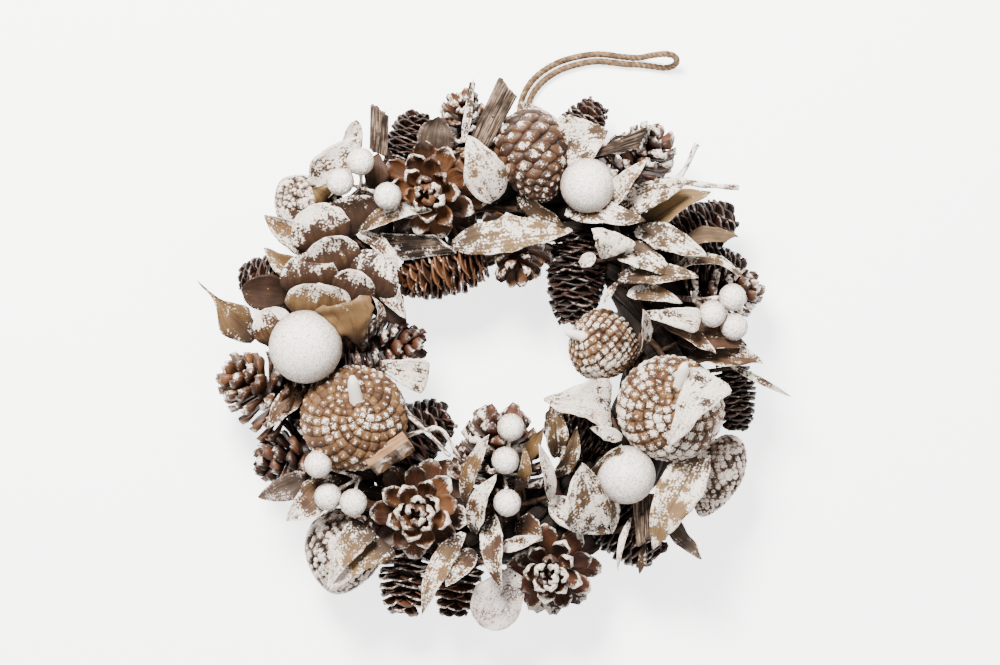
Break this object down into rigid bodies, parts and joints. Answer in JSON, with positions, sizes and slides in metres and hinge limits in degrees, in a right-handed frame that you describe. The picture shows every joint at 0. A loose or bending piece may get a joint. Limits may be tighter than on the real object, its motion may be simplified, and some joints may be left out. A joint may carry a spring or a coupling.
{
  "type": "snow-covered wreath",
  "caption": "Round snow-dusted winter wreath of cones, washed leaves, bark, glitter baubles and berries on a vine ring, with a jute hanging loop.",
  "frame": {"origin": "middle of the wreath on the surface that it lies on", "axes": "+Z out of the wreath's face, away from its flat back; +Y towards the top of the wreath, where the hanging loop is; +X towards its right as seen from the front"},
  "size_m": [0.323, 0.3213, 0.0853],
  "materials": {
    "vine": "rough dark vine",
    "brown_scale": "matte reddish brown scales with white rims",
    "dark_scale": "matte dark scales with white edges",
    "tan_scale": "matte tan scales with white studs",
    "pale_scale": "frosted knobbly scales",
    "washed_leaf": "white-washed dry leaf",
    "tan_leaf": "dry tan and olive leaf with a white wash",
    "grey_leaf": "dry grey leaf with a white wash",
    "bark": "rough grey-brown bark",
    "split_wood": "split pale wood",
    "twig": "frosted twig",
    "glitter": "fine off-white glitter",
    "jute": "hairy twisted jute twine"
  },
  "bodies": {
    "root": {"base_ring": "vine", "hanging_loop": "jute", "bauble_large": "glitter", "bauble_upper": "glitter", "bauble_lower": "glitter", "berries_upper_left": "glitter", "berries_right": "glitter", "berries_lower_left": "glitter", "berries_bottom": "glitter", "leaves_left": "tan_leaf", "leaves_upper_left": "washed_leaf", "leaves_top": "washed_leaf", "leaves_top_right": "washed_leaf", "leaves_right": "washed_leaf", "leaves_right_middle": "tan_leaf", "leaves_lower_right": "washed_leaf", "leaves_bottom": "tan_leaf", "leaves_bottom_outer": "grey_leaf", "leaves_lower_left": "tan_leaf", "leaves_left_outer": "grey_leaf", "leaf_hole_left": "washed_leaf", "bark_strip_left": "bark", "bark_strip_top": "bark", "bark_slab_hole": "bark", "split_wood": "split_wood", "bark_wedge": "bark", "bark_lower_right": "bark", "twig_fork_right": "twig", "twigs_hole_left": "twig", "closed_cone_left": "tan_scale", "closed_cone_right": "tan_scale", "closed_cone_hole_right": "tan_scale", "closed_cone_top": "brown_scale", "frosted_cone_upper_left": "pale_scale", "frosted_cone_lower_left": "pale_scale", "frosted_cone_right": "pale_scale", "rosette_cone_upper": "brown_scale", "rosette_cone_lower": "brown_scale", "rosette_cone_bottom": "dark_scale", "rosette_cone_hole_top": "brown_scale", "open_cone_hole_left": "brown_scale", "open_cone_left": "brown_scale", "open_cone_lower_left": "brown_scale", "open_cone_top": "brown_scale", "open_cone_upper_right": "dark_scale", "open_cone_right": "brown_scale", "open_cone_hole_bottom": "dark_scale", "packed_cone_top_left": "dark_scale", "packed_cone_top_right": "dark_scale", "packed_cone_hole_top": "dark_scale", "packed_cone_hole_right": "dark_scale", "packed_cone_right_upper": "dark_scale", "packed_cone_right": "dark_scale", "packed_cone_right_lower": "dark_scale", "packed_cone_lower_right": "dark_scale", "packed_cone_bottom_left": "dark_scale", "packed_cone_bottom": "dark_scale", "packed_cone_hole_lower_left": "dark_scale", "packed_cone_left": "dark_scale", "packed_cone_hole_lower_right": "dark_scale"}
  },
  "joints": []
}
